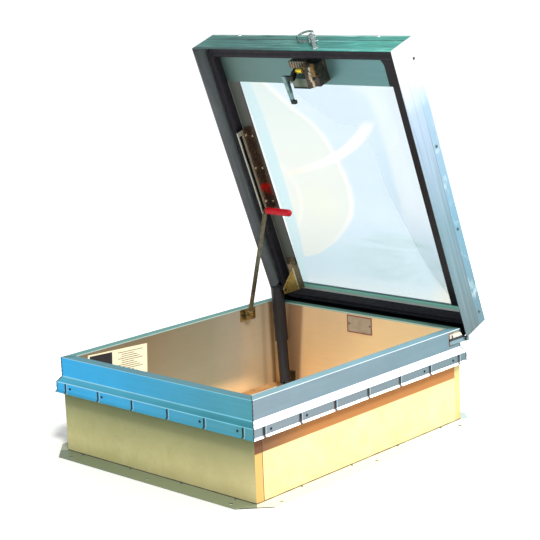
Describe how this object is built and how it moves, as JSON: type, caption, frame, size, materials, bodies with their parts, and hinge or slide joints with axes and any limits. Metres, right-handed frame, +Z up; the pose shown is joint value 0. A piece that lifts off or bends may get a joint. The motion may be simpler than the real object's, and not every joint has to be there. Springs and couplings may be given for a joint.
{
  "type": "roof hatch",
  "caption": "Roof access hatch: an insulated metal curb with slotted cap flashing and a bolted flange, and a hinged, domed, glazed cover held open by an arm.",
  "frame": {"origin": "centre of the flange's bolt holes, on the flange underside", "axes": "+Z up out of the roof; X across along the front (latch) side; +Y from the latch side to the hinge side"},
  "size_m": [0.937, 1.1598, 1.2651],
  "materials": {
    "aluminium": "mill finish sheet, faint roll lines",
    "fibreboard": "rigid fibreboard, mottled",
    "gasket_rubber": "extruded rubber",
    "glazing": "clear acrylic dome",
    "zinc_steel": "zinc plated steel",
    "gold_zinc": "yellow zinc plated steel",
    "latch_steel": "dark plated steel",
    "brass": "brass",
    "cast_handle": "cast zinc",
    "red_vinyl": "dipped vinyl",
    "black_paint": "black paint",
    "paper_label": "plain label",
    "plain_plate": "plain plate"
  },
  "bodies": {
    "curb": {"curb_wall_front": "aluminium", "curb_wall_right": "aluminium", "curb_wall_rear": "aluminium", "curb_wall_left": "aluminium", "insulation_front": "fibreboard", "insulation_rear": "fibreboard", "insulation_right": "fibreboard", "insulation_left": "fibreboard", "flashing_right": "aluminium", "flashing_left": "aluminium", "flashing_front": "aluminium", "flashing_rear": "aluminium", "hinge_leaf_right": "zinc_steel", "hinge_leaf_left": "zinc_steel", "latch_keeper": "zinc_steel", "arm_bracket": "zinc_steel", "tube_foot_bracket": "zinc_steel", "wall_label": "paper_label", "name_plate": "plain_plate"},
    "cover": {"hinge_eye_right": "zinc_steel", "hinge_eye_left": "zinc_steel", "cover_side_right": "aluminium", "cover_side_left": "aluminium", "cover_side_front": "aluminium", "cover_side_rear": "aluminium", "retainer_right": "aluminium", "retainer_left": "aluminium", "retainer_front": "aluminium", "retainer_rear": "aluminium", "gasket_right": "gasket_rubber", "gasket_left": "gasket_rubber", "gasket_front": "gasket_rubber", "gasket_rear": "gasket_rubber", "dome_glazing": "glazing", "latch_housing": "latch_steel", "latch_bolt": "brass", "handle_rose": "cast_handle", "hold_open_track": "zinc_steel", "tube_cover_bracket": "gold_zinc"},
    "arm": {"hold_open_arm": "zinc_steel", "arm_grip": "red_vinyl"},
    "tube_lower": {"spring_tube_lower": "black_paint"},
    "tube_upper": {"spring_tube_upper": "black_paint"},
    "lever": {"inside_lever": "cast_handle"},
    "handle": {"outside_handle": "cast_handle"}
  },
  "joints": [
    {"name": "cover_hinge", "type": "hinge", "parent": "curb", "child": "cover", "pos_m": [0, 0.5152, 0.2657], "axis": [1, 0, 0], "range_deg": [0, 69.3], "stiffness_Nm_per_rad": 70, "springref_deg": -51.57},
    {"name": "arm_pivot", "type": "hinge", "parent": "curb", "child": "arm", "pos_m": [-0.3515, 0.309, 0.29], "axis": [1, 0, 0], "range_deg": [0, 105]},
    {"name": "tube_foot_pivot", "type": "hinge", "parent": "curb", "child": "tube_lower", "pos_m": [-0.302, 0.421, 0.016], "axis": [1, 0, 0], "range_deg": [0, 8.1]},
    {"name": "tube_slide", "type": "slide", "parent": "tube_lower", "child": "tube_upper", "axis": [-0.058, -0.0011, 0.9983], "range_m": [-0.1481, 0]},
    {"name": "inside_lever_pull", "type": "hinge", "parent": "cover", "child": "lever", "pos_m": [0.003, 0.21054, 1.1407], "axis": [-1, 0, 0], "range_deg": [0, 35], "stiffness_Nm_per_rad": 1.5, "springref_deg": -17.19},
    {"name": "outside_handle_turn", "type": "hinge", "parent": "cover", "child": "handle", "pos_m": [0.072, 0.20548, 1.24462], "axis": [0, 0.3535, -0.9354], "range_deg": [-46, 43], "stiffness_Nm_per_rad": 1.5}
  ],
  "couplings": [
    {"joint": "arm_pivot", "follows": "cover_hinge", "ratio": 1.5147},
    {"joint": "tube_foot_pivot", "follows": "cover_hinge", "ratio": 0.11636},
    {"joint": "tube_slide", "follows": "cover_hinge", "m_per_rad": -0.12233}
  ]
}
